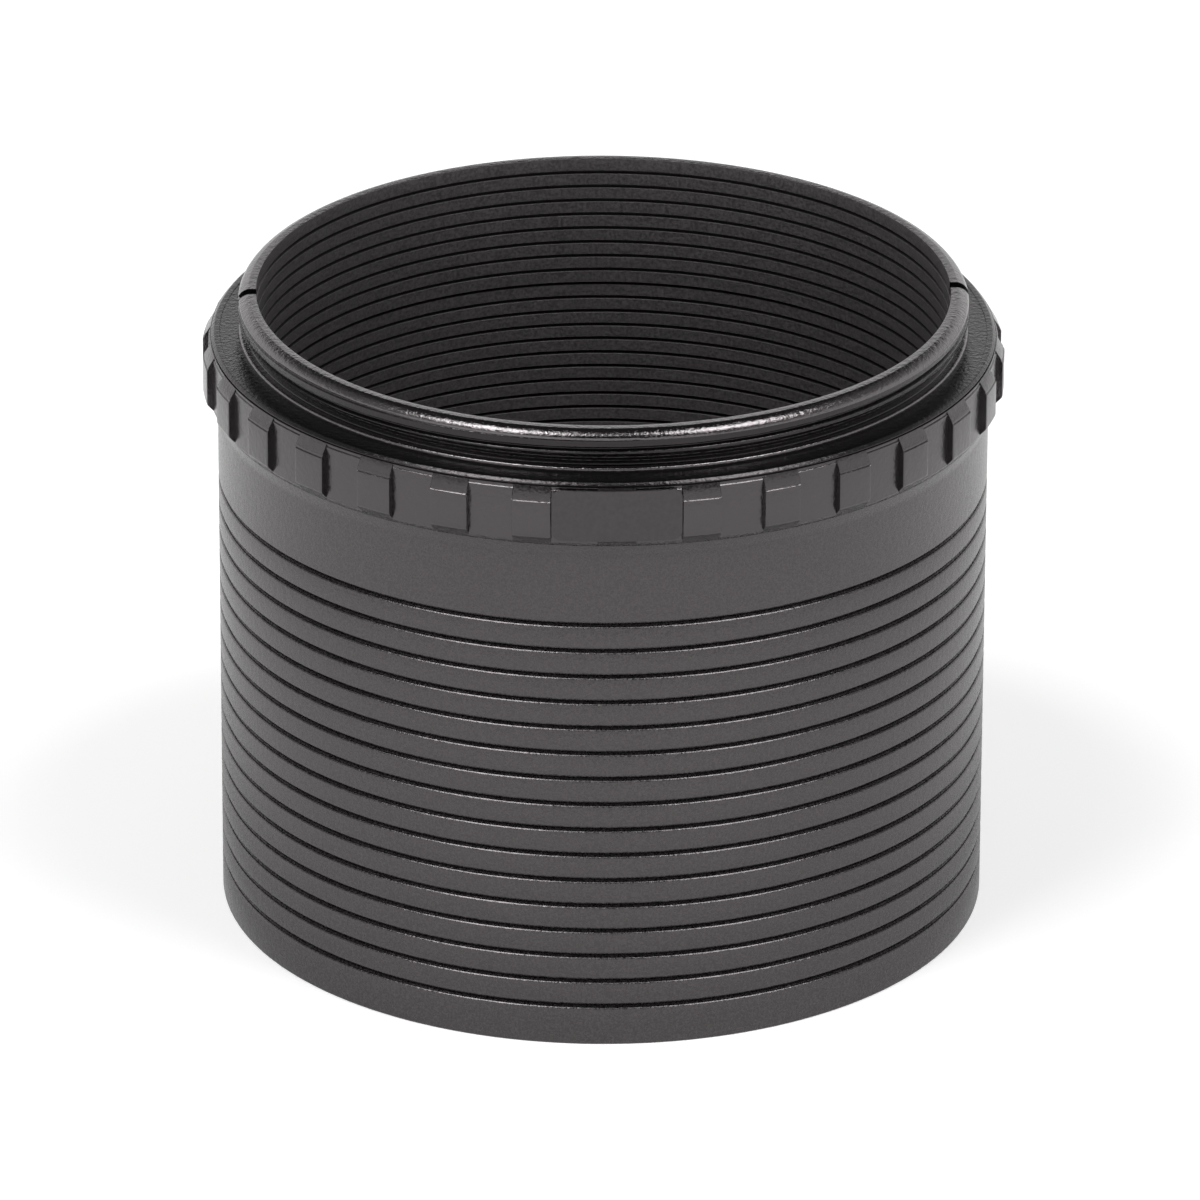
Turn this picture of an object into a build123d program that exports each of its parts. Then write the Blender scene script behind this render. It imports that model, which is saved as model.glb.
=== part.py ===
from build123d import *
from math import degrees
import os

os.makedirs("parts", exist_ok=True)

# A telescope extension tube: a two-inch barrel with ring grooves, a threaded collar screwed
# into its top, a grip ring held between the two, and a blank label stuck to the grip ring.
# Millimetres and degrees. The foot face lies on Z = 0, light runs along Z, the label faces -Y.

# Driving dimensions
thread_radius = 24.0      # major radius of the thread, the same at both ends
thread_pitch = 0.75
thread_length = 2.8       # male thread, from the shoulder face to the rim
optical_length = 40.0     # from the foot face to the shoulder face
foot_wall = 1.4           # from the thread's major radius to the outside of the barrel
collar_wall = 1.2         # from the light path to the thread's major radius
overrun = 1.0             # how far a cut runs past the metal

barrel_radius = thread_radius + foot_wall    # the two-inch barrel
light_radius = thread_radius - collar_wall

# Collar: a flange with a thin lip sits on the barrel, and a spigot goes down inside it
flange_height = 0.25
lip_height = 0.14
lip_overhang = 0.38       # the lip stands this far outside the barrel
joint_depth = 0.2         # open joint between the lip and the grip ring
spigot_wall = 0.9
spigot_length = 5.95
spigot_clearance = 0.03
spigot_end_gap = 0.2
rim_chamfer = 0.55        # lead-in at the start of the thread
relief_depth = 0.5        # run-out groove below the thread
relief_height = 1.05
relief_land = 0.28        # plain ring between the run-out groove and the shoulder
spanner_slot_width = 0.9
spanner_slot_depth = 1.0

# Grip ring: pads stand proud of a thin band, and the ring slips over the barrel's neck
ring_height = 4.05
ring_clearance = 0.03
ring_flat = 0.89          # level part of the ring's top, under the flange and the lip
neck_depth = 0.5          # step from the barrel's outside in to its neck
seat_rise = 0.4           # the ring sits on a short cone that stands out this far
seat_height = 0.9
band_rise = 0.55          # floor of the notches, above the barrel's outside
pad_rise = 1.0            # face of the pads, above the barrel's outside
pad_count = 30
notch_width = 3.0
pad_top_drop = 0.88       # the ring's top slopes down to the pads by this much
ring_foot_height = 0.3    # from the ring's bottom up to the notches' floors
pad_foot_height = 0.43    # sloping underside of each pad

# Barrel: sixteen ring grooves between a plain band below the grip ring and one at the foot
groove_count = 16
groove_width = 0.45
groove_depth = 0.4
upper_band = 5.7          # from the grip ring down to the highest groove
foot_band = 2.83          # from the foot up to the lowest groove
foot_edge_break = 0.15
foot_thread_spare = 1.2   # the female thread is this much longer than the male one
foot_lead_height = 0.5
minor_depth_share = 0.5413    # depth of an internal thread, as a share of its pitch

# Label
label_width = 8.4
label_height = 3.5
label_thickness = 0.1
label_corner = 0.6
label_film = 0.02         # adhesive between the label and the pad
label_overhang = 0.93     # how far the label stands above the top of the pads' faces
label_facing = -90        # direction of the label, about Z from +X

# Heights and radii that follow from these
rim_height = optical_length + thread_length
ring_top = optical_length - flange_height
ring_bottom = ring_top - ring_height
neck_radius = barrel_radius - neck_depth
ring_bore_radius = neck_radius + ring_clearance
ring_top_radius = ring_bore_radius + ring_flat
lip_radius = barrel_radius + lip_overhang
flange_foot_radius = lip_radius - joint_depth
seat_radius = barrel_radius + seat_rise
band_radius = barrel_radius + band_rise
pad_radius = barrel_radius + pad_rise
pad_face_top = ring_top - pad_top_drop
spigot_radius = light_radius + spigot_wall
spigot_bottom = ring_top - spigot_length

# Barrel: the female thread is a plain bore at its minor radius, with a lead-in
foot_minor_radius = thread_radius - thread_pitch * minor_depth_share
foot_seat = thread_length + foot_thread_spare
socket_radius = spigot_radius + spigot_clearance
socket_floor = spigot_bottom - spigot_end_gap
groove_pitch = (ring_bottom - upper_band - foot_band) / (groove_count - 1)

with BuildPart() as barrel:
    with BuildSketch(Plane.XZ):
        with BuildLine():
            Polyline(
                (thread_radius, 0),
                (barrel_radius - foot_edge_break, 0),
                (barrel_radius, foot_edge_break),
                (barrel_radius, ring_bottom - seat_height),
                (seat_radius, ring_bottom),
                (neck_radius, ring_bottom),
                (neck_radius, ring_top),
                (socket_radius, ring_top),
                (socket_radius, socket_floor),
                (light_radius, socket_floor),
                (light_radius, foot_seat),
                (foot_minor_radius, foot_seat),
                (foot_minor_radius, foot_lead_height),
                close=True,
            )
        make_face()
        for number in range(groove_count):
            with Locations((barrel_radius, foot_band + number * groove_pitch)):
                Polygon(
                    (-groove_depth, 0),
                    (0, -groove_width / 2),
                    (overrun, -groove_width / 2),
                    (overrun, groove_width / 2),
                    (0, groove_width / 2),
                    align=None,
                    mode=Mode.SUBTRACT,
                )
    revolve(axis=Axis.Z)

# Threaded collar: the male thread is a plain cylinder at its major radius, and two slots
# across its rim take a flat spanner
relief_radius = thread_radius - relief_depth
relief_foot = optical_length + relief_land
thread_foot = relief_foot + relief_height

with BuildPart() as threaded_collar:
    with BuildSketch(Plane.XZ):
        with BuildLine():
            Polyline(
                (light_radius, spigot_bottom),
                (spigot_radius, spigot_bottom),
                (spigot_radius, ring_top),
                (flange_foot_radius, ring_top),
                (flange_foot_radius, optical_length - lip_height),
                (lip_radius, optical_length - lip_height),
                (lip_radius, optical_length),
                (thread_radius, optical_length),
                (thread_radius, relief_foot),
                (relief_radius, relief_foot),
                (relief_radius, thread_foot),
                (thread_radius, thread_foot),
                (thread_radius, rim_height - rim_chamfer),
                (thread_radius - rim_chamfer, rim_height),
                (light_radius, rim_height),
                close=True,
            )
        make_face()
    revolve(axis=Axis.Z)
    with BuildSketch(Plane.XY.offset(rim_height)):
        Rectangle((thread_radius + overrun) * 2, spanner_slot_width)
    extrude(amount=-spanner_slot_depth, mode=Mode.SUBTRACT)

# Grip ring: a turned blank with straight notches milled across it, one pad facing the label
with BuildPart() as grip_ring:
    with BuildSketch(Plane.XZ):
        with BuildLine():
            Polyline(
                (ring_bore_radius, ring_bottom),
                (seat_radius, ring_bottom),
                (band_radius, ring_bottom + ring_foot_height),
                (pad_radius, ring_bottom + ring_foot_height + pad_foot_height),
                (pad_radius, pad_face_top),
                (ring_top_radius, ring_top),
                (ring_bore_radius, ring_top),
                close=True,
            )
        make_face()
    revolve(axis=Axis.Z)
    with BuildSketch(Plane.XY.offset(ring_bottom)):
        with PolarLocations(band_radius, pad_count, label_facing + 180 / pad_count):
            Rectangle(pad_rise + overrun, notch_width, align=(Align.MIN, Align.CENTER))
    extrude(amount=ring_height, mode=Mode.SUBTRACT)

# Label: a thin plate wrapped round the front pad and across the notches beside it
label_radius = pad_radius + label_film
label_angle = degrees(label_width / label_radius)

with BuildPart() as label:
    with BuildSketch(Plane.XZ.rotated((0, 0, label_facing - label_angle / 2))):
        with Locations((label_radius, pad_face_top + label_overhang)):
            Rectangle(label_thickness, label_height, align=(Align.MIN, Align.MAX))
    revolve(axis=Axis.Z, revolution_arc=label_angle)
    fillet(label.edges().sort_by(SortBy.LENGTH)[:4], radius=label_corner)

pieces = {
    "barrel": barrel,
    "threaded_collar": threaded_collar,
    "grip_ring": grip_ring,
    "label": label,
}
for name, piece in pieces.items():
    piece.part.label = name
    export_step(piece.part, f"parts/{name}.step")
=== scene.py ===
import math

import bmesh
import bpy
import numpy as np
from mathutils import Matrix, Vector


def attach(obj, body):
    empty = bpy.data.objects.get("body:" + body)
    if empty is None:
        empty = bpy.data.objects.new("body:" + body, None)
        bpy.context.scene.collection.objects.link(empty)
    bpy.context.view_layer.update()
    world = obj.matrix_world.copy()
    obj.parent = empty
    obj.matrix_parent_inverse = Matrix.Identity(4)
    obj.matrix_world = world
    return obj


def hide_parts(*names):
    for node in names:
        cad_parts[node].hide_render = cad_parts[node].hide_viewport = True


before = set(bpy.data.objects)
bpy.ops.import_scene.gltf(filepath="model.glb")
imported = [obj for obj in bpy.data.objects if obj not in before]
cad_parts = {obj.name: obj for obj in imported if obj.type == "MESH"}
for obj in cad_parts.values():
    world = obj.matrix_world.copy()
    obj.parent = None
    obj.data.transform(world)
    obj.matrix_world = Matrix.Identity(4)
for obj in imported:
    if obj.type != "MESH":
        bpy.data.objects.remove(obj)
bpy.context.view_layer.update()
mm = 0.001  # the sizes below are millimetres, and the angles degrees, where no note says otherwise
mergeDistance = 0.0015
spare = 0.01  # how far a zone reaches past the edge that it is meant for
scene = bpy.context.scene
print("frame loaded:", sorted(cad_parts))


# Small helpers for meshes

def meshObject(name, points, faces=()):
    mesh = bpy.data.meshes.new(name)
    mesh.from_pydata([tuple(c * mm for c in point) for point in points], [], list(faces))
    mesh.update()
    thing = bpy.data.objects.new(name, mesh)
    scene.collection.objects.link(thing)
    return thing


def evaluatedMesh(thing):
    bpy.context.view_layer.update()
    graph = bpy.context.evaluated_depsgraph_get()
    return bpy.data.meshes.new_from_object(thing.evaluated_get(graph), depsgraph=graph)


def closeMesh(piece, sharpAngle):
    work = bmesh.new()
    work.from_mesh(piece.data)
    bmesh.ops.remove_doubles(work, verts=work.verts, dist=mergeDistance * mm)
    bmesh.ops.recalc_face_normals(work, faces=work.faces)
    for face in work.faces:
        face.smooth = True
    openEdges = sum(1 for edge in work.edges if not edge.is_manifold)
    volume = round(work.calc_volume(signed=True) / mm ** 3, 1)
    work.to_mesh(piece.data)
    work.free()
    piece.data.set_sharp_from_angle(angle=math.radians(sharpAngle))
    print(piece.name, "faces", len(piece.data.polygons), "open edges", openEdges, "volume", volume)


# Small helpers for node trees

def addNode(tree, kind, inputs=None, **settings):
    node = tree.nodes.new(kind)
    for key, value in settings.items():
        setattr(node, key, value)
    for key, value in (inputs or {}).items():
        if isinstance(value, bpy.types.NodeSocket):
            tree.links.new(value, node.inputs[key])
        else:
            node.inputs[key].default_value = value
    return node


def mathNode(tree, operation, *values):
    return addNode(tree, "ShaderNodeMath", dict(enumerate(values)), operation=operation).outputs[0]


def ramp(tree, value, start, end, kind="LINEAR"):  # each end is a value and what it becomes
    return addNode(tree, "ShaderNodeMapRange", {
        "Value": value, 1: start[0], 2: end[0], 3: start[1], 4: end[1],
    }, interpolation_type=kind).outputs[0]


def vectorFrom(tree, x, y, z):
    return addNode(tree, "ShaderNodeCombineXYZ", {0: x, 1: y, 2: z}).outputs[0]


def position(tree):
    place = addNode(tree, "GeometryNodeInputPosition").outputs[0]
    return addNode(tree, "ShaderNodeSeparateXYZ", {0: place}).outputs


def distanceFromAxis(tree, place):
    squares = [mathNode(tree, "POWER", place[axis], 2.0) for axis in (0, 1)]
    return mathNode(tree, "SQRT", mathNode(tree, "ADD", *squares))


def between(tree, value, low, high):
    above = mathNode(tree, "GREATER_THAN", value, low)
    return mathNode(tree, "MULTIPLY", above, mathNode(tree, "LESS_THAN", value, high))


def realized(tree, mesh):
    return addNode(tree, "GeometryNodeRealizeInstances", {"Geometry": mesh}).outputs[0]


def coated(tree, mesh, finish, chosen=True):
    return addNode(tree, "GeometryNodeSetMaterial", {
        "Geometry": mesh, "Selection": chosen, "Material": finish,
    }).outputs[0]


def newTree(name, labels):
    tree = bpy.data.node_groups.new(name, "GeometryNodeTree")
    tree.interface.new_socket("Geometry", in_out="INPUT", socket_type="NodeSocketGeometry")
    for kind, names in labels.items():
        for label in names:
            tree.interface.new_socket(label, in_out="INPUT", socket_type="NodeSocket" + kind)
    tree.interface.new_socket("Geometry", in_out="OUTPUT", socket_type="NodeSocketGeometry")
    return tree, tree.nodes.new("NodeGroupInput").outputs, tree.nodes.new("NodeGroupOutput").inputs[0]


def metres(lengths):
    return {label: length * mm for label, length in lengths.items()}


def bakeTree(name, source, tree, values, sharpAngle):
    modifier = source.modifiers.new("shape", "NODES")
    modifier.node_group = tree
    sockets = {item.name: item.identifier for item in tree.interface.items_tree
               if item.item_type == "SOCKET" and item.in_out == "INPUT"}
    for label, value in values.items():
        modifier[sockets[label]] = value
    source.update_tag()
    mesh = evaluatedMesh(source)
    source.modifiers.remove(modifier)
    bpy.data.objects.remove(source)
    piece = bpy.data.objects.new(name, mesh)
    scene.collection.objects.link(piece)
    closeMesh(piece, sharpAngle)
    return piece


# Finishes: a fine grain, in the tone and in the relief, over a slow change of colour

anodised = {
    "satinBlack": {
        "colour": (0.0085, 0.0077, 0.0080), "paleColour": (0.0130, 0.0118, 0.0122),
        "roughness": 0.27, "spread": 0.14, "ior": 1.72,
        "grainSize": 0.16, "grainDepth": 0.017, "grainTone": 1.0,
    },
    "threadBlack": {
        "colour": (0.0018, 0.0017, 0.0018), "paleColour": (0.0034, 0.0032, 0.0033),
        "roughness": 0.15, "spread": 0.12, "ior": 1.45,
        "grainSize": 0.13, "grainDepth": 0.018, "grainTone": 0.5,
    },
    "rimBlack": {
        "colour": (0.0018, 0.0017, 0.0018), "paleColour": (0.0034, 0.0032, 0.0033),
        "roughness": 0.14, "spread": 0.10, "ior": 2.10,
        "grainSize": 0.13, "grainDepth": 0.019, "grainTone": 0.5,
    },
    "ringBlack": {
        "colour": (0.0040, 0.0037, 0.0038), "paleColour": (0.0068, 0.0063, 0.0065),
        "roughness": 0.21, "spread": 0.12, "ior": 1.74,
        "grainSize": 0.15, "grainDepth": 0.016, "grainTone": 1.0,
    },
    "boreBlack": {
        "colour": (0.0350, 0.0325, 0.0335), "paleColour": (0.0450, 0.0420, 0.0430),
        "roughness": 0.48, "spread": 0.10, "ior": 1.72,
        "grainSize": 0.20, "grainDepth": 0.012, "grainTone": 0.5,
    },
    # darker than the bore's colour: painted shade inside the stop grooves
    "stopPaintedShade": {
        "colour": (0.0060, 0.0056, 0.0058), "paleColour": (0.0080, 0.0075, 0.0077),
        "roughness": 0.45, "spread": 0.06, "ior": 1.45,
        "grainSize": 0.20, "grainDepth": 0.004, "grainTone": 0.2,
    },
    "labelBlack": {
        "colour": (0.0118, 0.0108, 0.0116), "paleColour": (0.0158, 0.0146, 0.0156),
        "roughness": 0.33, "spread": 0.06, "ior": 1.60,
        "grainSize": 0.30, "grainDepth": 0.003, "grainTone": 0.3,
    },
}
pattern = {
    "waveScale": 0.4,  # against the grain's
    "waveHeight": 1.6,
    "cloudScale": 90.0,  # for each metre
    "toneEnds": (0.36, 0.64), "roughEnds": (0.3, 0.7),
    "warmTint": (1.0, 0.925, 0.950, 1.0),  # the oxide's faint warm cast
}


def newMaterial(name):
    material = bpy.data.materials.new(name)
    material.use_nodes = True
    tree = material.node_tree
    tree.nodes.clear()
    return material, tree


def anodisedMaterial(name, colour, paleColour, roughness, spread, ior, grainSize, grainDepth, grainTone):
    material, tree = newMaterial(name)
    place = addNode(tree, "ShaderNodeTexCoord").outputs["Object"]

    def noise(scale, detail, share):
        return addNode(tree, "ShaderNodeTexNoise", {
            "Vector": place, "Scale": scale, "Detail": detail, "Roughness": share,
        }).outputs["Fac"]

    grain = noise(1 / (grainSize * mm), 3.0, 0.6)
    wave = noise(pattern["waveScale"] / (grainSize * mm), 2.0, 0.5)
    cloud = noise(pattern["cloudScale"], 4.0, 0.55)
    relief = mathNode(tree, "ADD", grain, mathNode(tree, "MULTIPLY", wave, pattern["waveHeight"]))
    bump = addNode(tree, "ShaderNodeBump", {"Height": relief, "Strength": 1.0, "Distance": grainDepth * mm})
    mix = addNode(tree, "ShaderNodeMix", {
        0: cloud, 6: (*colour, 1), 7: (*paleColour, 1),
    }, data_type="RGBA").outputs[2]
    low, high = pattern["toneEnds"]
    speck = ramp(tree, grain, (low, 1 - grainTone), (high, 1 + grainTone))
    tone = addNode(tree, "ShaderNodeVectorMath", {0: mix, 3: speck}, operation="SCALE").outputs[0]
    low, high = pattern["roughEnds"]
    rough = ramp(tree, grain, (low, roughness - spread / 2), (high, roughness + spread / 2))
    shader = addNode(tree, "ShaderNodeBsdfPrincipled", {
        "Base Color": tone, "Roughness": rough, "Normal": bump.outputs[0],
        "IOR": ior, "Specular Tint": pattern["warmTint"],
    })
    addNode(tree, "ShaderNodeOutputMaterial", {"Surface": shader.outputs[0]})
    return material


finishes = {name: anodisedMaterial(name, **values) for name, values in anodised.items()}
print("finishes made")


# Sections: points with a radius and a height, up the outside and down the bore

tube = {  # what more than one piece uses
    "threadRadius": 24.0, "lightRadius": 22.8, "pitch": 0.75, "ringBottom": 35.7, "ringTop": 39.75,
    "stopPitch": 1.012, "stopWidth": 0.24, "stopDepth": 0.26, "stopLip": 0.012, "stopTaper": 0.05,
    "boreDepth": 0.5,  # a face no further than this behind the light path's wall belongs to the bore
    "stopSkin": 0.015,  # and one deeper than this belongs to a stop, and gets a darker colour: painted shade in the groove
    "facing": -90.0,  # the label's direction, about Z from +X
}
turnOver = 1.0  # metres: sorts the bore's points, which run downwards, after the outside's
hair = 1e-7  # metres: keeps the order of points that are level with each other


def sectionObject(name, outside, bore):
    thing = meshObject(name, [(r, 0, z) for r, z in outside + bore])
    orders = [z * mm for r, z in outside] + [turnOver - z * mm for r, z in bore]
    for i in range(1, len(orders)):
        orders[i] = max(orders[i], orders[i - 1] + hair)
    thing.data.attributes.new("order", "FLOAT", "POINT").data.foreach_set("value", orders)
    return thing


def grooveDots(name, lower, upper, side):  # side is -1 for a cut into the wall, 1 for one into the bore
    line = [(depth, -height) for depth, height in lower] + list(reversed(upper))
    return meshObject(name, [(side * depth, 0, height) for depth, height in line])


def bend(start, corner, end, shares):
    a, b, c = (np.array(point, float) for point in (start, corner, end))
    return [tuple((1 - t) ** 2 * a + 2 * t * (1 - t) * b + t * t * c) for t in shares]


def roundCorner(before, corner, after, size, steps=3):
    middle = np.array(corner, float)
    ends = []
    for point in (before, after):
        away = np.array(point, float) - middle
        ends.append(middle + away / np.linalg.norm(away) * size)
    return bend(ends[0], corner, ends[1], np.linspace(0, 1, steps + 1))


def roundedLine(corners):  # a corner may also have its rounding, and the steps in that
    line = []
    for i, (r, z, *rounding) in enumerate(corners):
        if rounding:
            line += roundCorner(corners[i - 1][:2], (r, z), corners[i + 1][:2], *rounding)
        else:
            line.append((r, z))
    return line


# Turned tubes: a closed section, with grooves repeated along its wall and its bore, turned about Z

def turnedTubeTree():
    tree, given, result = newTree("turnedTube", {
        "Object": ("Groove", "Stop Groove"),
        "Int": ("Groove Count", "Stop Count", "Segments"),
        "Float": ("Groove Pitch", "First Groove", "Wall Radius", "Stop Pitch", "First Stop", "Light Radius",
                  "Bore Depth", "Stop Skin", "Turn Over"),
        "Material": ("Finish", "Bore Finish", "Stop Painted Shade"),
    })

    def repeated(cutter, count, first, pitch, radius, downwards):
        line = addNode(tree, "GeometryNodeMeshLine", {
            "Count": given[count], "Start Location": vectorFrom(tree, given[radius], 0, given[first]),
            "Offset": vectorFrom(tree, 0, 0, given[pitch]),
        }, mode="OFFSET")
        shape = addNode(tree, "GeometryNodeObjectInfo", {"Object": given[cutter]})
        copies = addNode(tree, "GeometryNodeInstanceOnPoints", {
            "Points": line.outputs[0], "Instance": shape.outputs["Geometry"],
        })
        order = position(tree)[2]
        if downwards:
            order = mathNode(tree, "SUBTRACT", given["Turn Over"], order)
        return addNode(tree, "GeometryNodeStoreNamedAttribute", {
            "Geometry": realized(tree, copies.outputs[0]), "Name": "order", "Value": order,
        }, data_type="FLOAT", domain="POINT").outputs[0]

    # All the points, joined in their order to one closed outline
    joined = addNode(tree, "GeometryNodeJoinGeometry")
    for part in (
        given["Geometry"],
        repeated("Groove", "Groove Count", "First Groove", "Groove Pitch", "Wall Radius", False),
        repeated("Stop Groove", "Stop Count", "First Stop", "Stop Pitch", "Light Radius", True),
    ):
        tree.links.new(part, joined.inputs[0])
    dots = addNode(tree, "GeometryNodeMeshToPoints", {"Mesh": joined.outputs[0]})
    order = addNode(tree, "GeometryNodeInputNamedAttribute", {"Name": "order"}, data_type="FLOAT").outputs[0]
    outline = addNode(tree, "GeometryNodePointsToCurves", {"Points": dots.outputs[0], "Weight": order})
    closed = addNode(tree, "GeometryNodeSetSplineCyclic", {"Geometry": outline.outputs[0], "Cyclic": True})

    # The outline, laid flat as a profile and swept round the light path
    place = position(tree)
    fromWall = mathNode(tree, "SUBTRACT", place[0], given["Light Radius"])
    laid = addNode(tree, "GeometryNodeSetPosition", {
        "Geometry": closed.outputs[0],
        "Position": vectorFrom(tree, fromWall, mathNode(tree, "MULTIPLY", place[2], -1.0), 0),
    })
    path = addNode(tree, "GeometryNodeCurvePrimitiveCircle", {
        "Resolution": given["Segments"], "Radius": given["Light Radius"],
    })
    upright = addNode(tree, "GeometryNodeSetCurveNormal", {"Curve": path.outputs[0]})
    upright.mode = "Z_UP"
    turned = addNode(tree, "GeometryNodeCurveToMesh", {
        "Curve": upright.outputs[0], "Profile Curve": laid.outputs[0],
    })

    radius = distanceFromAxis(tree, position(tree))
    boreEnd = mathNode(tree, "ADD", given["Light Radius"], given["Bore Depth"])
    inBore = mathNode(tree, "LESS_THAN", radius, boreEnd)
    # A face deep in a stop groove gets the stops' darker colour: painted shade in the groove.
    skinEnd = mathNode(tree, "ADD", given["Light Radius"], given["Stop Skin"])
    inStop = mathNode(tree, "MULTIPLY", inBore, mathNode(tree, "GREATER_THAN", radius, skinEnd))
    plain = coated(tree, realized(tree, turned.outputs[0]), given["Finish"])
    lined = coated(tree, plain, given["Bore Finish"], inBore)
    tree.links.new(coated(tree, lined, given["Stop Painted Shade"], inStop), result)
    return tree


turnedTube = turnedTubeTree()


def turnTube(name, s, outside, bore, groove, finish):
    half = s["stopWidth"] / 2
    edge = [(0, half + s["stopLip"]), (s["stopLip"], half), (s["stopDepth"], half - s["stopTaper"])]
    stop = grooveDots(name + "Stop", edge, edge, 1)
    plain = bakeTree(name + "Plain", sectionObject(name + "Section", outside, bore), turnedTube, metres({
        "Groove Pitch": s["groovePitch"], "First Groove": s["firstGroove"], "Wall Radius": s["radius"],
        "Stop Pitch": -s["stopPitch"], "First Stop": s["firstStop"], "Light Radius": s["lightRadius"],
        "Bore Depth": s["boreDepth"], "Stop Skin": s["stopSkin"],
    }) | {
        "Groove": groove or stop, "Groove Count": s["grooveCount"],
        "Stop Groove": stop, "Stop Count": s["stopCount"], "Segments": s["segments"], "Turn Over": turnOver,
        "Finish": finishes[finish],
        "Bore Finish": finishes["boreBlack"], "Stop Painted Shade": finishes["stopPaintedShade"],
    }, s["sharpAngle"])
    bpy.data.objects.remove(stop)
    return plain


# Threads: a wall's points move in to a helical groove, or out to one where the thread is female

def threadTree():
    tree, given, result = newTree("cutThread", {
        "Float": ("Pitch", "Depth", "Crest Height", "Crest Flat", "Root Flat", "Radius",
                  "Fade Foot", "Fade Top", "Fade Share", "Lowest", "Highest", "Narrowest", "Widest",
                  "Finish Lowest", "Finish Narrowest", "Edge Lowest", "Edge Highest"),
        "Bool": ("Female",),
        "Material": ("Finish",),
    })
    place = position(tree)
    radius = distanceFromAxis(tree, place)

    # How far a point is from the middle of a crest, in turns: 0 on a crest and 0.5 in a root
    angle = mathNode(tree, "ARCTAN2", place[0], mathNode(tree, "MULTIPLY", place[1], -1.0))
    rise = mathNode(tree, "SUBTRACT", place[2], given["Crest Height"])
    turns = mathNode(tree, "DIVIDE", rise, given["Pitch"])
    phase = mathNode(tree, "SUBTRACT", turns, mathNode(tree, "DIVIDE", angle, math.tau))
    away = mathNode(tree, "ABSOLUTE", mathNode(tree, "SUBTRACT", phase, mathNode(tree, "ROUND", phase)))

    crestEnd = mathNode(tree, "DIVIDE", given["Crest Flat"], 2.0)
    rootStart = mathNode(tree, "SUBTRACT", 0.5, mathNode(tree, "DIVIDE", given["Root Flat"], 2.0))
    cut = ramp(tree, away, (crestEnd, 0.0), (rootStart, given["Depth"]), "SMOOTHSTEP")
    fade = ramp(tree, place[2], (given["Fade Foot"], 1.0), (given["Fade Top"], given["Fade Share"]))
    cut = mathNode(tree, "MULTIPLY", cut, fade)
    inwards = mathNode(tree, "MINIMUM", radius, mathNode(tree, "SUBTRACT", given["Radius"], cut))
    outwards = mathNode(tree, "MAXIMUM", radius, mathNode(tree, "ADD", given["Radius"], cut))
    reach = addNode(tree, "GeometryNodeSwitch", {
        0: given["Female"], 1: inwards, 2: outwards,
    }, input_type="FLOAT").outputs[0]
    scale = mathNode(tree, "DIVIDE", reach, radius)
    x, y = (mathNode(tree, "MULTIPLY", place[axis], scale) for axis in (0, 1))

    tall = between(tree, place[2], given["Lowest"], given["Highest"])
    wide = between(tree, radius, given["Narrowest"], given["Widest"])
    threaded = addNode(tree, "GeometryNodeSetPosition", {
        "Geometry": given["Geometry"], "Selection": mathNode(tree, "MULTIPLY", tall, wide),
        "Position": vectorFrom(tree, x, y, place[2]),
    })

    above = mathNode(tree, "GREATER_THAN", place[2], given["Finish Lowest"])
    onEdge = between(tree, place[2], given["Edge Lowest"], given["Edge Highest"])
    outside = mathNode(tree, "GREATER_THAN", radius, given["Finish Narrowest"])
    chosen = mathNode(tree, "MULTIPLY", mathNode(tree, "MAXIMUM", above, onEdge), outside)
    tree.links.new(coated(tree, realized(tree, threaded.outputs[0]), given["Finish"], chosen), result)
    return tree


threadCutter = threadTree()


def cutThread(name, plain, s, female, finish, lengths):
    return bakeTree(name, plain, threadCutter, metres({
        "Pitch": s["pitch"], "Depth": s["threadDepth"], "Crest Height": s["crestHeight"], **lengths,
    }) | {
        "Crest Flat": s["crestFlat"], "Root Flat": s["rootFlat"], "Fade Share": s["fadeShare"],
        "Female": female, "Finish": finishes[finish],
    }, s["sharpAngle"])


# Barrel

barrelShape = tube | {
    "radius": 25.4, "neckRadius": 24.9, "socketRadius": 23.73, "socketFloor": 33.60,
    "seatRadius": 25.8, "seatFoot": 34.8, "seatRound": 0.25, "seatSteps": 6, "seatEdge": 0.03,
    "footBreak": 0.15, "footSteps": 4, "footBore": 23.594, "footLead": 0.5, "footSeat": 4.0,
    "grooveCount": 16, "groovePitch": 1.8113, "firstGroove": 2.83, "grooveWidth": 0.40, "grooveDepth": 0.4,
    "grooveLip": 0.085, "lipCurve": ((0, 1), (0.08, 0.84), (0.20, 0.70), (0.76, 0.14), (0.90, 0.03)),
    "lipEnd": (1.15, 0.004),  # a share of the lip, then how far inside the groove's half width
    # Each point here is a depth, and how far it lies inside the groove's half width
    "roofEdge": ((0, 0), (0.01, 0.002)), "roofSlope": 0.03, "floorCorner": 0.08,
    "step": ((0.16, 0.015), (0.17, 0.02), (0.24, 0.09), (0.25, 0.095)), "stepEnd": 0.12,
    "firstStop": 32.692, "stopCount": 29,
    "threadDepth": 0.40, "crestHeight": 2.0, "threadEnds": (0.02, 3.94),
    "rowStep": 0.045, "leadRows": 12, "leadEnd": 0.97,
    "crestFlat": 0.14, "rootFlat": 0.10,  # shares of the pitch
    "fadeShare": 1.0, "segments": 160, "sharpAngle": 42,
    "never": 1000.0,  # a height that no point reaches, for the zones that this thread doesn't have
}


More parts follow.
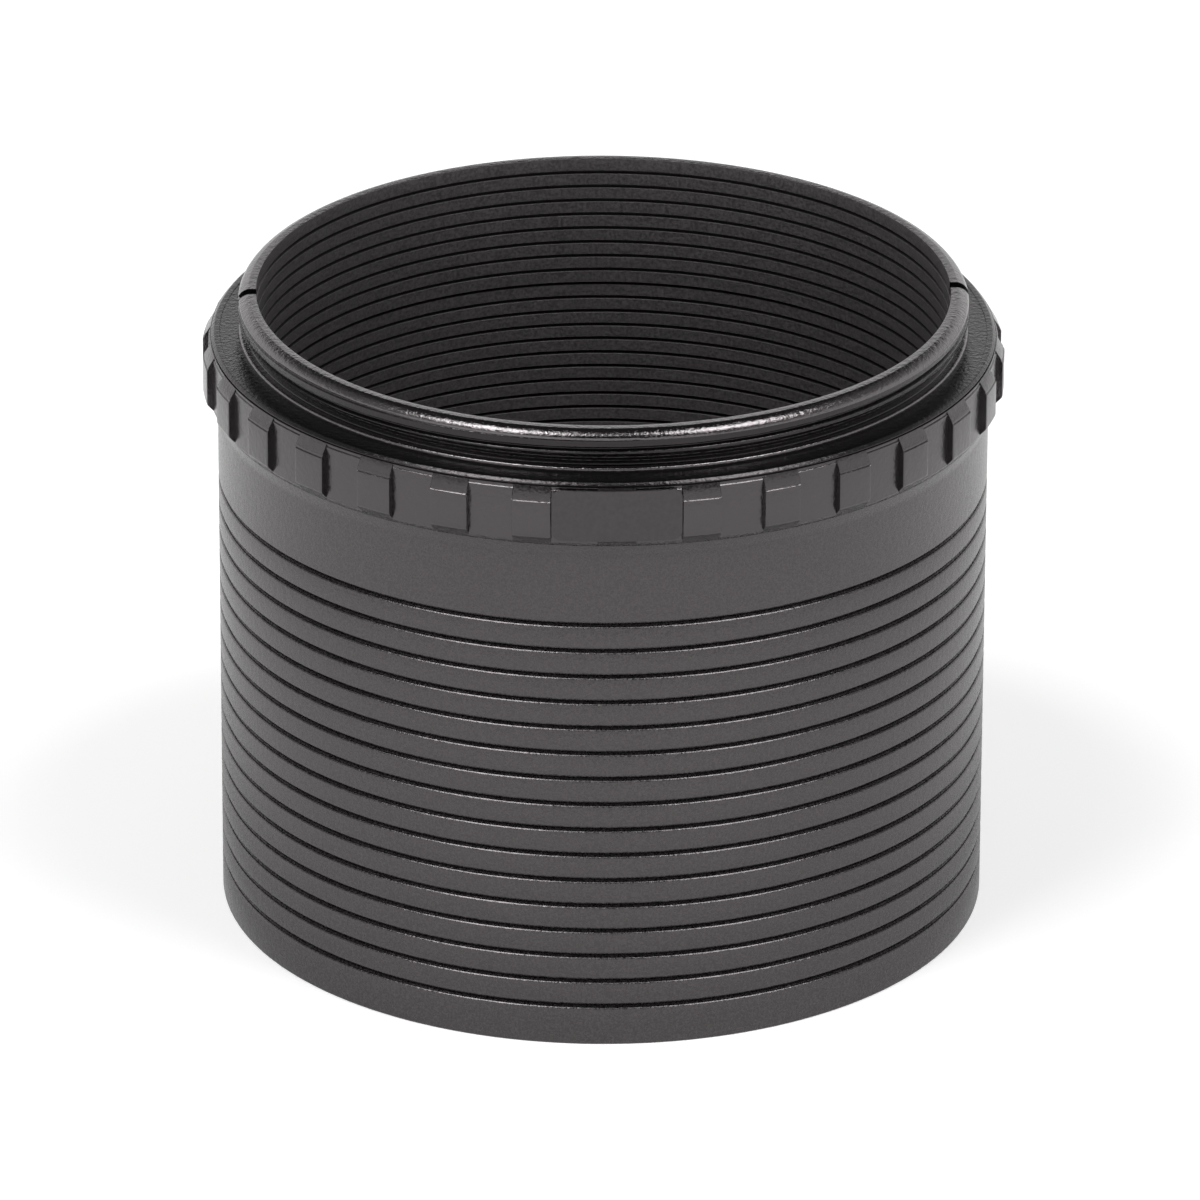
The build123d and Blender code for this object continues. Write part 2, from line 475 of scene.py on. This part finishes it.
def wallGroove(s):  # the upper edge is square, and the lower one is broken, with a small step behind it
    half, depth, lip = s["grooveWidth"] / 2, s["grooveDepth"], s["grooveLip"]
    corner = ((depth - s["floorCorner"], s["roofSlope"]), (depth, s["roofSlope"] + s["floorCorner"]))
    upper = [(deep, half - inside) for deep, inside in s["roofEdge"] + corner]
    lower = [(deep * lip, half + outside * lip) for deep, outside in s["lipCurve"]]
    lower.append((lip * s["lipEnd"][0], half - s["lipEnd"][1]))
    lower += [(deep, half - inside) for deep, inside in s["step"] + ((depth, s["stepEnd"]),)]
    return grooveDots("barrelGroove", lower, upper, -1)


def makeBarrel(s):
    outside = roundedLine([
        (s["threadRadius"], 0), (s["radius"], 0, s["footBreak"], s["footSteps"]),
        (s["radius"], s["seatFoot"], s["seatRound"], s["seatSteps"]),
        (s["seatRadius"], s["ringBottom"], s["seatEdge"]),
        (s["neckRadius"], s["ringBottom"]), (s["neckRadius"], s["ringTop"]),
    ])
    bore = [
        (s["socketRadius"], s["ringTop"]), (s["socketRadius"], s["socketFloor"]),
        (s["lightRadius"], s["socketFloor"]), (s["lightRadius"], s["footSeat"]),
        (s["footBore"], s["footSeat"]),
    ]
    heights = np.arange(s["footSeat"] - s["rowStep"], s["footLead"], -s["rowStep"])
    bore += [(s["footBore"], z) for z in heights]
    leadWidth = s["threadRadius"] - s["footBore"]
    for t in np.linspace(0, s["leadEnd"], s["leadRows"]):
        bore.append((s["footBore"] + leadWidth * t, s["footLead"] * (1 - t)))
    groove = wallGroove(s)
    plain = turnTube("barrel", s, outside, bore, groove, "satinBlack")
    bpy.data.objects.remove(groove)
    return cutThread("barrelBody", plain, s, True, "satinBlack", {
        "Radius": s["footBore"], "Fade Foot": s["never"], "Fade Top": 2 * s["never"],
        "Lowest": s["threadEnds"][0], "Highest": s["threadEnds"][1],
        "Narrowest": (s["lightRadius"] + s["footBore"]) / 2, "Widest": s["threadRadius"] - spare,
        "Finish Lowest": s["never"], "Finish Narrowest": s["never"],
        "Edge Lowest": s["never"], "Edge Highest": s["never"],
    })


barrelBody = makeBarrel(barrelShape)
print("barrel made")


# Threaded collar

collarShape = tube | {
    "radius": tube["threadRadius"], "spigotRadius": 23.7, "spigotFoot": 33.80, "flangeRadius": 25.70,
    "lipFoot": 39.80, "lipRadius": 25.79, "lipWallTop": 39.86, "lipEdge": 25.60, "lipTop": 40.05,
    "lipFootBreak": 0.01, "lipWallRound": 0.02, "lipTopRound": 0.06,
    "stepRadius": 25.22, "stepSlope": 0.02, "stepGuard": 0.09, "shoulder": 40.0,
    "landTop": 40.32, "landRound": 0.20, "landSteps": 7,
    "reliefFoot": 23.45, "reliefTop": (23.52, 41.12), "reliefRound": 0.08, "reliefStart": 0.10,
    "reliefRows": 25, "toolMarks": (40.62, 40.84), "toolMarkReach": 0.05, "toolMarkRise": 0.012,
    "threadFoot": 41.28, "footEdge": 0.03, "firstRow": 0.07, "rowStep": 0.022,
    "chamferFoot": 42.22, "chamferBulge": (23.84, 42.65), "chamferRows": 24, "chamferEnd": 0.96,
    "rimHeight": 42.80, "rimOuter": 23.32, "rimEdge": 0.02, "boreEdge": 0.03,
    "grooveCount": 0, "groovePitch": 1.0, "firstGroove": 0.0,  # no ring grooves on this piece
    "firstStop": 41.80, "stopCount": 8,
    "threadDepth": 0.24, "crestHeight": 41.985, "fadeFoot": 42.05, "fadeTop": 42.28, "fadeShare": 0.25,
    "crestFlat": 0.50, "rootFlat": 0.04,  # shares of the pitch
    "coatReach": 0.4,  # the rim's finish reaches this far in over its flat top
    "slotWidth": 0.9, "slotDepth": 1.0, "cutterReach": 30, "cutterHeight": 3,
    "beyond": 1.0,  # how far the thread's zone reaches past the metal
    "segments": 384, "sharpAngle": 34,
}


def reliefWall(s):  # leans out a little, with faint ridges that the tool left in it
    foot, (topRadius, topHeight) = s["landTop"] + s["reliefStart"], s["reliefTop"]
    wall = []
    for t in np.linspace(0, 1, s["reliefRows"] + 1)[1:]:
        z = foot + (topHeight - foot) * t
        nearest = min(abs(z - mark) for mark in s["toolMarks"])
        ridge = max(0, 1 - nearest / s["toolMarkReach"]) * s["toolMarkRise"]
        wall.append((s["reliefFoot"] + (topRadius - s["reliefFoot"]) * t + ridge, z))
    return wall


def cutSpannerSlots(piece, s):
    low, half, reach = s["rimHeight"] - s["slotDepth"], s["slotWidth"] / 2, s["cutterReach"]
    heights = (low, low + s["cutterHeight"])
    corners = [(x, y, z) for x in (-reach, reach) for y in (-half, half) for z in heights]
    sides = [(0, 1, 3, 2), (4, 6, 7, 5), (0, 4, 5, 1), (2, 3, 7, 6), (0, 2, 6, 4), (1, 5, 7, 3)]
    cutter = meshObject("slotCutter", corners, sides)
    slot = piece.modifiers.new("slots", "BOOLEAN")
    slot.operation, slot.solver, slot.object = "DIFFERENCE", "EXACT", cutter
    cut = evaluatedMesh(piece)
    piece.modifiers.remove(slot)
    piece.data = cut
    bpy.data.objects.remove(cutter)
    closeMesh(piece, s["sharpAngle"])


def makeCollar(s):
    wallFoot, wallTop = (s["radius"], s["threadFoot"]), (s["radius"], s["chamferFoot"])
    rim, rimInside = (s["rimOuter"], s["rimHeight"]), (s["lightRadius"], s["rimHeight"])
    outside = roundedLine([
        (s["spigotRadius"], s["spigotFoot"]), (s["spigotRadius"], s["ringTop"]),
        (s["flangeRadius"], s["ringTop"]), (s["flangeRadius"], s["lipFoot"]),
        (s["lipRadius"], s["lipFoot"], s["lipFootBreak"], 1),
        (s["lipRadius"], s["lipWallTop"], s["lipWallRound"]), (s["lipEdge"], s["lipTop"], s["lipTopRound"]),
        (s["stepRadius"] + s["stepGuard"], s["lipTop"]), (s["stepRadius"] + s["stepSlope"], s["lipTop"]),
        (s["stepRadius"] - s["stepSlope"], s["shoulder"]), (s["stepRadius"] - s["stepGuard"], s["shoulder"]),
        (s["radius"], s["shoulder"]), (s["radius"], s["landTop"], s["landRound"], s["landSteps"]),
        (s["reliefFoot"], s["landTop"], s["reliefRound"]), (s["reliefFoot"], s["threadFoot"]),
    ])[:-1]  # the last point only gives the direction of the rounding before it
    outside += reliefWall(s)
    outside += roundCorner(outside[-1], wallFoot, wallTop, s["footEdge"])
    heights = np.arange(s["threadFoot"] + s["firstRow"], s["chamferFoot"] - spare, s["rowStep"])
    outside += [(s["radius"], z) for z in heights]
    outside += bend(wallTop, s["chamferBulge"], rim, np.linspace(0, s["chamferEnd"], s["chamferRows"]))
    outside += roundCorner(outside[-1], rim, rimInside, s["rimEdge"])
    boreFoot = (s["lightRadius"], s["spigotFoot"])
    bore = roundCorner(rim, rimInside, boreFoot, s["boreEdge"]) + [boreFoot]
    plain = turnTube("collar", s, outside, bore, None, "threadBlack")
    piece = cutThread("collarBody", plain, s, False, "rimBlack", {
        "Radius": s["radius"], "Fade Foot": s["fadeFoot"], "Fade Top": s["fadeTop"],
        "Lowest": s["threadFoot"] + s["footEdge"], "Highest": s["rimHeight"] + s["beyond"],
        "Narrowest": s["rimOuter"] - spare, "Widest": s["radius"] + s["beyond"],
        "Finish Lowest": s["chamferFoot"], "Finish Narrowest": s["rimOuter"] - spare - s["coatReach"],
        "Edge Lowest": s["landTop"] - s["landRound"] - spare, "Edge Highest": s["landTop"] + spare,
    })
    cutSpannerSlots(piece, s)
    return piece


collarBody = makeCollar(collarShape)
print("threaded collar made")


# Grip ring: one pad and the notch beside it, repeated round the ring

ringShape = tube | {
    "padCount": 30, "notchWidth": 3.0, "boreRadius": 24.93, "flatRadius": 25.87, "seatRadius": 25.8,
    "seatEdge": 0.02, "bandRadius": 25.97, "bandFoot": 36.0, "floorSink": 0.001,
    "padRadius": 26.396, "padFoot": 36.43, "padTop": 38.90, "edge": 0.13,
    # The chamfer between an upright face and the cone above it: how far in and how far up
    "topEdge": ((0, -0.095), (0.006, -0.068), (0.054, -0.016), (0.085, 0.0)), "coneStart": 0.09,
    # The rounding of a pad's side: shares of its width, and how much of the pad's height is left
    "sideEdge": ((0.45, 0.99), (0.1, 0.96), (0, 0.9)), "padColumns": 5, "notchColumns": 6, "sharpAngle": 30,
}


def padSector(s):
    half = math.pi / s["padCount"]
    slope = (s["ringTop"] - s["padTop"]) / (s["padRadius"] - s["flatRadius"])
    coneAtBand = s["ringTop"] - slope * (s["bandRadius"] - s["flatRadius"])
    edge = s["topEdge"] + ((s["coneStart"], s["coneStart"] * slope),)

    def withEdge(line, radius, height):
        return line + [(radius - inwards, height + up) for inwards, up in edge]

    bandFoot, padFoot = (s["bandRadius"], s["bandFoot"]), (s["padRadius"], s["padFoot"])
    foot = roundedLine([bandFoot, (*padFoot, s["edge"]), (s["padRadius"], s["padTop"])])[:-1]
    padLine = withEdge(foot, s["padRadius"], s["padTop"])
    floor = [(s["bandRadius"] - s["floorSink"], z) for r, z in foot]
    floorLine = withEdge(floor, s["bandRadius"], coneAtBand)
    top, bottom = s["ringTop"], s["ringBottom"]
    shared = [
        (s["flatRadius"], top), (s["boreRadius"], top), (s["boreRadius"], bottom),
        (s["seatRadius"] - s["seatEdge"], bottom), (s["seatRadius"], bottom + s["seatEdge"]),
    ]

    # Columns round the sector: an angle, and a share that is 0 on the notch's floor and 1 on the pad
    wall, wallOut = (math.asin(s["notchWidth"] / 2 / radius) for radius in (s["bandRadius"], s["padRadius"]))
    soft = s["edge"] / s["padRadius"]
    columns = [(-half + (half - wall - soft) * t, 1.0) for t in np.linspace(0, 1, s["padColumns"] + 1)]
    columns += [(-wallOut - soft * width, share) for width, share in s["sideEdge"]]
    columns.append((-wall, 0.0))
    mirrored = [(-angle, share) for angle, share in reversed(columns)]
    columns += [(-wall + 2 * wall * t, 0.0) for t in np.linspace(0, 1, s["notchColumns"] + 1)[1:-1]]
    columns += mirrored

    points, faces = [], []
    for angle, share in columns:
        blend = [(1 - share) * np.array(f) + share * np.array(p) for f, p in zip(floorLine, padLine)]
        points += [(r * math.cos(angle), r * math.sin(angle), z) for r, z in blend + shared]
    rows = len(padLine) + len(shared)
    for i in range(len(columns) - 1):
        for j in range(rows):
            k = (j + 1) % rows
            faces.append((i * rows + j, (i + 1) * rows + j, (i + 1) * rows + k, i * rows + k))
    return meshObject("padSector", points, faces)


def padRingTree():
    tree, given, result = newTree("padRing", {
        "Int": ("Pad Count",), "Float": ("First Angle",), "Material": ("Finish",),
    })
    dots = addNode(tree, "GeometryNodeMeshLine", {
        "Count": given["Pad Count"], "Offset": (0, 0, 0),
    }, mode="OFFSET")
    index = addNode(tree, "GeometryNodeInputIndex").outputs[0]
    step = mathNode(tree, "DIVIDE", math.tau, given["Pad Count"])
    turn = mathNode(tree, "ADD", given["First Angle"], mathNode(tree, "MULTIPLY", index, step))
    copies = addNode(tree, "GeometryNodeInstanceOnPoints", {
        "Points": dots.outputs[0], "Instance": given["Geometry"], "Rotation": vectorFrom(tree, 0, 0, turn),
    })
    tree.links.new(coated(tree, realized(tree, copies.outputs[0]), given["Finish"]), result)
    return tree


def makeRing(s):
    return bakeTree("gripRing", padSector(s), padRingTree(), {
        "Pad Count": s["padCount"], "First Angle": math.radians(s["facing"]) + math.pi / s["padCount"],
        "Finish": finishes["ringBlack"],
    }, s["sharpAngle"])


gripRing = makeRing(ringShape)
print("grip ring made")


# Label: a thin blank plate wrapped round the front pad

labelShape = tube | {
    "width": 8.4, "height": 3.5, "thickness": 0.1, "corner": 0.6, "innerRadius": 26.42, "top": 39.8,
    "edge": 0.03, "edgeShare": 0.3,  # the outer edge's rounding, and where in it the middle point lies
    "columns": 40, "cornerRows": 6, "sideRows": 7, "sharpAngle": 60,
}


def makeLabel(s):
    quarter = np.linspace(0, math.pi / 2, s["cornerRows"] + 1)
    heights = list(s["corner"] * (1 - np.cos(quarter)))
    sides = np.linspace(s["corner"], s["height"] - s["corner"], s["sideRows"] + 1)[1:-1]
    heights += list(sides) + [s["height"] - height for height in reversed(heights)]
    outer, edge = s["innerRadius"] + s["thickness"], s["edge"]
    layers = [
        (s["innerRadius"], 0), (outer - edge, 0),
        (outer - s["edgeShare"] * edge, s["edgeShare"] * edge), (outer, edge),
    ]
    points, faces = [], []
    for radius, inset in layers:
        for height in heights:
            into = max(s["corner"] - height, height - (s["height"] - s["corner"]), 0)
            reach = s["width"] / 2 - s["corner"] + math.sqrt(max(s["corner"] ** 2 - into ** 2, 0)) - inset
            level = inset + height * (s["height"] - 2 * inset) / s["height"]
            z = s["top"] - s["height"] + level
            for t in np.linspace(-1, 1, s["columns"] + 1):
                angle = math.radians(s["facing"]) + reach * t / outer
                points.append((radius * math.cos(angle), radius * math.sin(angle), z))
    rows, cols = len(heights), s["columns"] + 1
    for layer in (0, len(layers) - 1):
        for j in range(rows - 1):
            for i in range(cols - 1):
                low = (layer * rows + j) * cols + i
                faces.append((low, low + 1, low + cols + 1, low + cols))
    rim = list(range(cols)) + [j * cols + cols - 1 for j in range(1, rows)]
    rim += [(rows - 1) * cols + i for i in range(cols - 2, -1, -1)]
    rim += [j * cols for j in range(rows - 2, 0, -1)]
    for layer in range(len(layers) - 1):
        near, far = layer * rows * cols, (layer + 1) * rows * cols
        for a, b in zip(rim, rim[1:] + rim[:1]):
            faces.append((near + a, near + b, far + b, far + a))
    piece = meshObject("labelPlate", points, faces)
    piece.data.materials.append(finishes["labelBlack"])
    closeMesh(piece, s["sharpAngle"])
    return piece


labelPlate = makeLabel(labelShape)
print("label made")


# Each piece stands for its CAD solid

for piece, node, slot in (
    (barrelBody, "barrel", "anodised_aluminium"), (collarBody, "threaded_collar", "anodised_aluminium"),
    (gripRing, "grip_ring", "anodised_aluminium"), (labelPlate, "label", "label_film"),
):
    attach(piece, "root")
    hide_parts(node)


# Studio, in metres: a white table under a pale surround, with two soft boxes overhead

studio = {
    "tableReach": 3.0, "floorColour": 0.80, "floorWhite": 0.345,  # the last is added where the camera sees it
    "floorGlow": 0.33, "paintedShadowGlow": 0.07, "paintedShadowReach": (0.030, 0.120),  # added where the object mirrors it, and falling near the object to the second over the distances in the third: a painted shadow round the foot
    "surround": 1.10, "overhead": 0.04, "sideGlow": 0.34,
    "surroundEnds": (0.38, 0.52),  # the upward part of the direction, where overhead takes over
    "sideEnds": (0.30, 0.70),  # the sideways part, where sideGlow takes over
    "leftBox": (-0.25, -0.20, 0.60), "rightBox": (0.27, -0.18, 0.60), "boxSize": 0.26, "aim": (0, 0, 0.03),
    "leftPower": 2.4, "rightPower": 2.1,
}


def seenRays(tree):
    rays = addNode(tree, "ShaderNodeLightPath").outputs
    seen = mathNode(tree, "ADD", rays["Is Camera Ray"], rays["Is Glossy Ray"])
    return mathNode(tree, "MINIMUM", mathNode(tree, "ADD", seen, rays["Is Transmission Ray"]), 1.0)


def makeFloor(s):
    reach = s["tableReach"] / mm
    corners = [(-reach, -reach, 0), (reach, -reach, 0), (reach, reach, 0), (-reach, reach, 0)]
    floor = meshObject("tableTop", corners, [(0, 1, 2, 3)])
    material, tree = newMaterial("whiteTable")
    diffuse = addNode(tree, "ShaderNodeBsdfDiffuse", {"Color": (s["floorColour"],) * 3 + (1,)})
    place = addNode(tree, "ShaderNodeTexCoord").outputs["Object"]
    away = addNode(tree, "ShaderNodeVectorMath", {0: place}, operation="LENGTH").outputs["Value"]
    # The glow that the object mirrors fades close to it: a painted shadow round the foot, seen only in
    # reflections.
    low, high = s["paintedShadowReach"]
    mirrored = ramp(tree, away, (low, s["paintedShadowGlow"]), (high, s["floorGlow"]), "SMOOTHSTEP")
    camera = addNode(tree, "ShaderNodeLightPath").outputs["Is Camera Ray"]
    level = addNode(tree, "ShaderNodeMix", {
        0: camera, 2: mirrored, 3: s["floorWhite"],
    }, data_type="FLOAT").outputs[0]
    strength = mathNode(tree, "MULTIPLY", seenRays(tree), level)
    glow = addNode(tree, "ShaderNodeEmission", {"Color": (1, 1, 1, 1), "Strength": strength})
    both = addNode(tree, "ShaderNodeAddShader", {0: diffuse.outputs[0], 1: glow.outputs[0]})
    addNode(tree, "ShaderNodeOutputMaterial", {"Surface": both.outputs[0]})
    floor.data.materials.append(material)


def makeWorld(s):
    world = bpy.data.worlds.new("surround")
    scene.world = world
    world.use_nodes = True
    tree = world.node_tree
    tree.nodes.clear()
    direction = addNode(tree, "ShaderNodeTexCoord").outputs["Generated"]
    across, _, height = addNode(tree, "ShaderNodeSeparateXYZ", {0: direction}).outputs
    low, high = s["sideEnds"]
    aside = mathNode(tree, "ABSOLUTE", across)
    above = ramp(tree, aside, (low, s["overhead"]), (high, s["sideGlow"]), "SMOOTHSTEP")
    low, high = s["surroundEnds"]
    fall = ramp(tree, height, (low, s["surround"]), (high, above), "SMOOTHSTEP")
    plain = addNode(tree, "ShaderNodeBackground", {"Color": (1, 1, 1, 1), "Strength": fall})
    white = addNode(tree, "ShaderNodeBackground", {"Color": (1, 1, 1, 1), "Strength": 1.0})
    camera = addNode(tree, "ShaderNodeLightPath").outputs["Is Camera Ray"]
    mixed = addNode(tree, "ShaderNodeMixShader", {0: camera, 1: plain.outputs[0], 2: white.outputs[0]})
    addNode(tree, "ShaderNodeOutputWorld", {"Surface": mixed.outputs[0]})


def softBox(name, place, power, s):
    light = bpy.data.lights.new(name, "AREA")
    light.shape, light.size, light.energy = "SQUARE", s["boxSize"], power
    lamp = bpy.data.objects.new(name, light)
    lamp.location = place
    lamp.rotation_euler = (Vector(s["aim"]) - Vector(place)).to_track_quat("-Z", "Y").to_euler()
    scene.collection.objects.link(lamp)


makeFloor(studio)
makeWorld(studio)
softBox("leftSoftBox", studio["leftBox"], studio["leftPower"], studio)
softBox("rightSoftBox", studio["rightBox"], studio["rightPower"], studio)
print("studio made")


# Camera: a pinhole fitted to the photograph

cameraShape = {
    "distance": 677.55, "height": 324.33, "tilt": 24.163, "roll": 0.217, "turn": -2.0,
    "photoWidth": 1200, "focalPixels": 11169.8, "centrePixel": 602.34, "sensor": 36.0, "clip": (0.05, 20.0),
}


def makeCamera(s):
    data = bpy.data.cameras.new("camera")
    camera = bpy.data.objects.new("camera", data)
    scene.collection.objects.link(camera)
    data.sensor_width = s["sensor"]
    data.sensor_fit = "HORIZONTAL"
    data.lens = s["focalPixels"] * s["sensor"] / s["photoWidth"]
    data.shift_x = -(s["centrePixel"] - s["photoWidth"] / 2) / s["photoWidth"]
    data.clip_start, data.clip_end = s["clip"]
    tilt, roll = math.radians(s["tilt"]), math.radians(s["roll"])
    ahead = Vector((0, math.cos(tilt), -math.sin(tilt)))
    up = Vector((0, math.sin(tilt), math.cos(tilt)))
    right = Vector((1, 0, 0))
    across = right * math.cos(roll) + up * math.sin(roll)
    rise = up * math.cos(roll) - right * math.sin(roll)
    matrix = Matrix((across, rise, -ahead)).transposed().to_4x4()
    matrix.translation = Vector((0, -s["distance"] * mm, s["height"] * mm))
    camera.matrix_world = Matrix.Rotation(math.radians(s["turn"]), 4, "Z") @ matrix
    scene.camera = camera


makeCamera(cameraShape)
scene.view_settings.view_transform = "Standard"
print("camera set")
